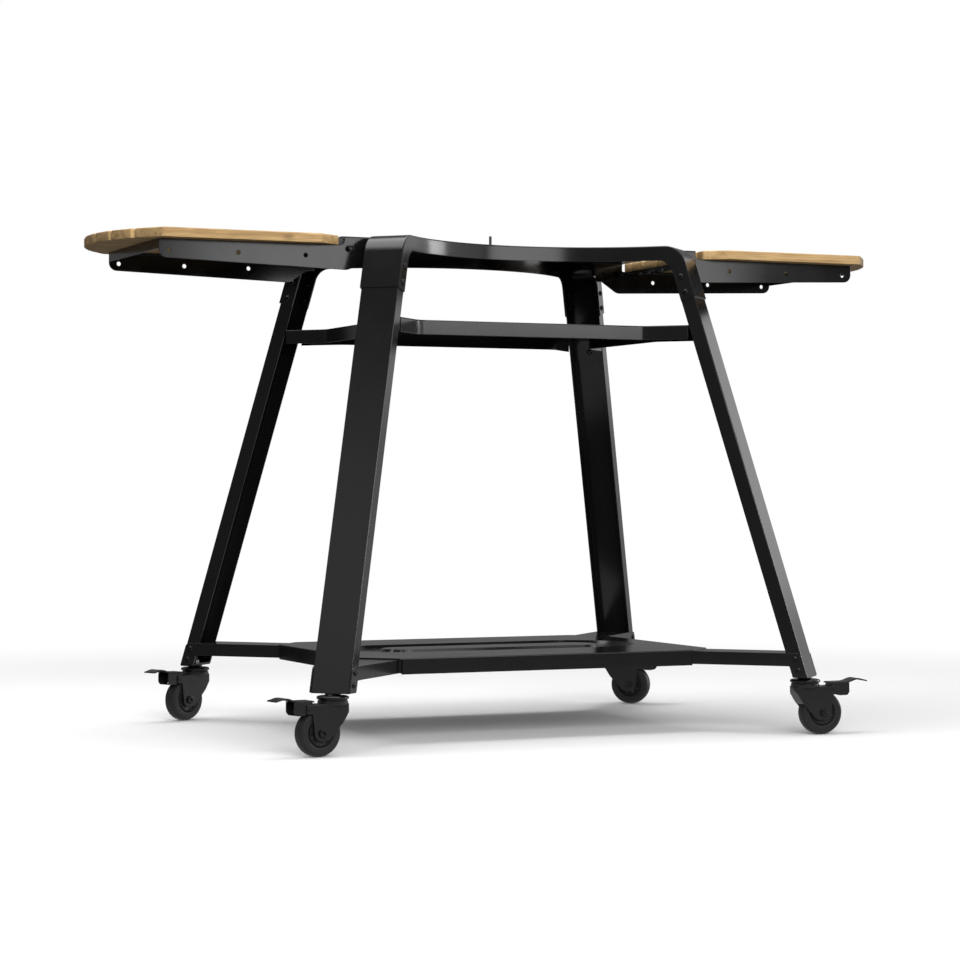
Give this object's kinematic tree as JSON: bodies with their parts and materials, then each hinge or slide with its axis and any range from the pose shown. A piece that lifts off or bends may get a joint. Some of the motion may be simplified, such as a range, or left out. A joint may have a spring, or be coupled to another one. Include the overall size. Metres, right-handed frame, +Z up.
{
  "type": "outdoor pizza oven table",
  "caption": "Outdoor table for a pizza oven: cross-shaped steel top, splayed channel legs on braked casters, middle and bottom shelves, fold-down wooden side shelves.",
  "frame": {"origin": "on the floor, under the centre of the table", "axes": "+X to the right along the side shelves, +Y to the back, +Z up"},
  "size_m": [1.4356, 0.7628, 0.8565],
  "materials": {
    "black_steel": "semi-gloss powder coat",
    "wood": "satin oiled",
    "tyre": "matte",
    "hub_plastic": "matte",
    "caster_metal": "satin",
    "fastener": "black oxide"
  },
  "bodies": {
    "frame": {"top_frame": "black_steel", "centre_stud": "fastener", "top_bolts": "fastener", "top_nuts": "fastener", "middle_shelf": "black_steel", "middle_shelf_screws": "fastener", "bottom_panel": "black_steel", "panel_screws": "fastener", "bottom_bolts": "fastener", "bottom_nuts": "fastener", "foot_plates": "black_steel", "stem_nuts": "fastener", "pivot_bolts": "fastener", "pivot_nuts": "fastener", "lock_buttons": "fastener", "bottom_side_left": "black_steel", "bottom_side_right": "black_steel", "leg_fl": "black_steel", "leg_fr": "black_steel", "leg_rl": "black_steel", "leg_rr": "black_steel", "caster_stem_fl": "caster_metal", "caster_stem_fr": "caster_metal", "caster_stem_rl": "caster_metal", "caster_stem_rr": "caster_metal"},
    "side_shelf_left": {"shelf_frame_left": "black_steel", "boards_left": "wood", "board_screws_left": "fastener"},
    "side_shelf_right": {"shelf_frame_right": "black_steel", "boards_right": "wood", "board_screws_right": "fastener"},
    "swivel_fl": {"fork_fl": "caster_metal", "axle_fl": "fastener", "pedal_pin_fl": "fastener"},
    "wheel_fl": {"tyre_fl": "tyre", "hub_fl": "hub_plastic"},
    "pedal_fl": {"brake_pedal_fl": "caster_metal"},
    "swivel_fr": {"fork_fr": "caster_metal", "axle_fr": "fastener", "pedal_pin_fr": "fastener"},
    "wheel_fr": {"tyre_fr": "tyre", "hub_fr": "hub_plastic"},
    "pedal_fr": {"brake_pedal_fr": "caster_metal"},
    "swivel_rl": {"fork_rl": "caster_metal", "axle_rl": "fastener", "pedal_pin_rl": "fastener"},
    "wheel_rl": {"tyre_rl": "tyre", "hub_rl": "hub_plastic"},
    "pedal_rl": {"brake_pedal_rl": "caster_metal"},
    "swivel_rr": {"fork_rr": "caster_metal", "axle_rr": "fastener", "pedal_pin_rr": "fastener"},
    "wheel_rr": {"tyre_rr": "tyre", "hub_rr": "hub_plastic"},
    "pedal_rr": {"brake_pedal_rr": "caster_metal"}
  },
  "joints": [
    {"name": "fold_left", "type": "hinge", "parent": "frame", "child": "side_shelf_left", "pos_m": [-0.3196, 0, 0.811], "axis": [0, -1, 0], "range_deg": [0, 90]},
    {"name": "fold_right", "type": "hinge", "parent": "frame", "child": "side_shelf_right", "pos_m": [0.3196, 0, 0.811], "axis": [0, 1, 0], "range_deg": [0, 90]},
    {"name": "swivel_fl", "type": "hinge", "parent": "frame", "child": "swivel_fl", "pos_m": [-0.42643, -0.34863, 0.08], "axis": [0, 0, 1], "continuous": true},
    {"name": "spin_fl", "type": "hinge", "parent": "swivel_fl", "child": "wheel_fl", "pos_m": [-0.45343, -0.35324, 0.0375], "axis": [0.1685, -0.9857, 0], "continuous": true},
    {"name": "brake_fl", "type": "hinge", "parent": "swivel_fl", "child": "pedal_fl", "pos_m": [-0.47571, -0.35705, 0.075], "axis": [0.1685, -0.9857, 0], "range_deg": [0, 8]},
    {"name": "swivel_fr", "type": "hinge", "parent": "frame", "child": "swivel_fr", "pos_m": [0.42643, -0.34863, 0.08], "axis": [0, 0, 1], "continuous": true},
    {"name": "spin_fr", "type": "hinge", "parent": "swivel_fr", "child": "wheel_fr", "pos_m": [0.45368, -0.35149, 0.0375], "axis": [0.1045, 0.9945, 0], "continuous": true},
    {"name": "brake_fr", "type": "hinge", "parent": "swivel_fr", "child": "pedal_fr", "pos_m": [0.47615, -0.35385, 0.075], "axis": [0.1045, 0.9945, 0], "range_deg": [0, 8]},
    {"name": "swivel_rl", "type": "hinge", "parent": "frame", "child": "swivel_rl", "pos_m": [-0.42643, 0.34863, 0.08], "axis": [0, 0, 1], "continuous": true},
    {"name": "spin_rl", "type": "hinge", "parent": "swivel_rl", "child": "wheel_rl", "pos_m": [-0.45136, 0.33726, 0.0375], "axis": [0.4147, -0.91, 0], "continuous": true},
    {"name": "brake_rl", "type": "hinge", "parent": "swivel_rl", "child": "pedal_rl", "pos_m": [-0.47192, 0.32789, 0.075], "axis": [0.4147, -0.91, 0], "range_deg": [0, 8]},
    {"name": "swivel_rr", "type": "hinge", "parent": "frame", "child": "swivel_rr", "pos_m": [0.42643, 0.34863, 0.08], "axis": [0, 0, 1], "continuous": true},
    {"name": "spin_rr", "type": "hinge", "parent": "swivel_rr", "child": "wheel_rr", "pos_m": [0.44701, 0.33054, 0.0375], "axis": [0.66, 0.7513, 0], "continuous": true},
    {"name": "brake_rr", "type": "hinge", "parent": "swivel_rr", "child": "pedal_rr", "pos_m": [0.46399, 0.31563, 0.075], "axis": [0.66, 0.7513, 0], "range_deg": [0, 8]}
  ]
}
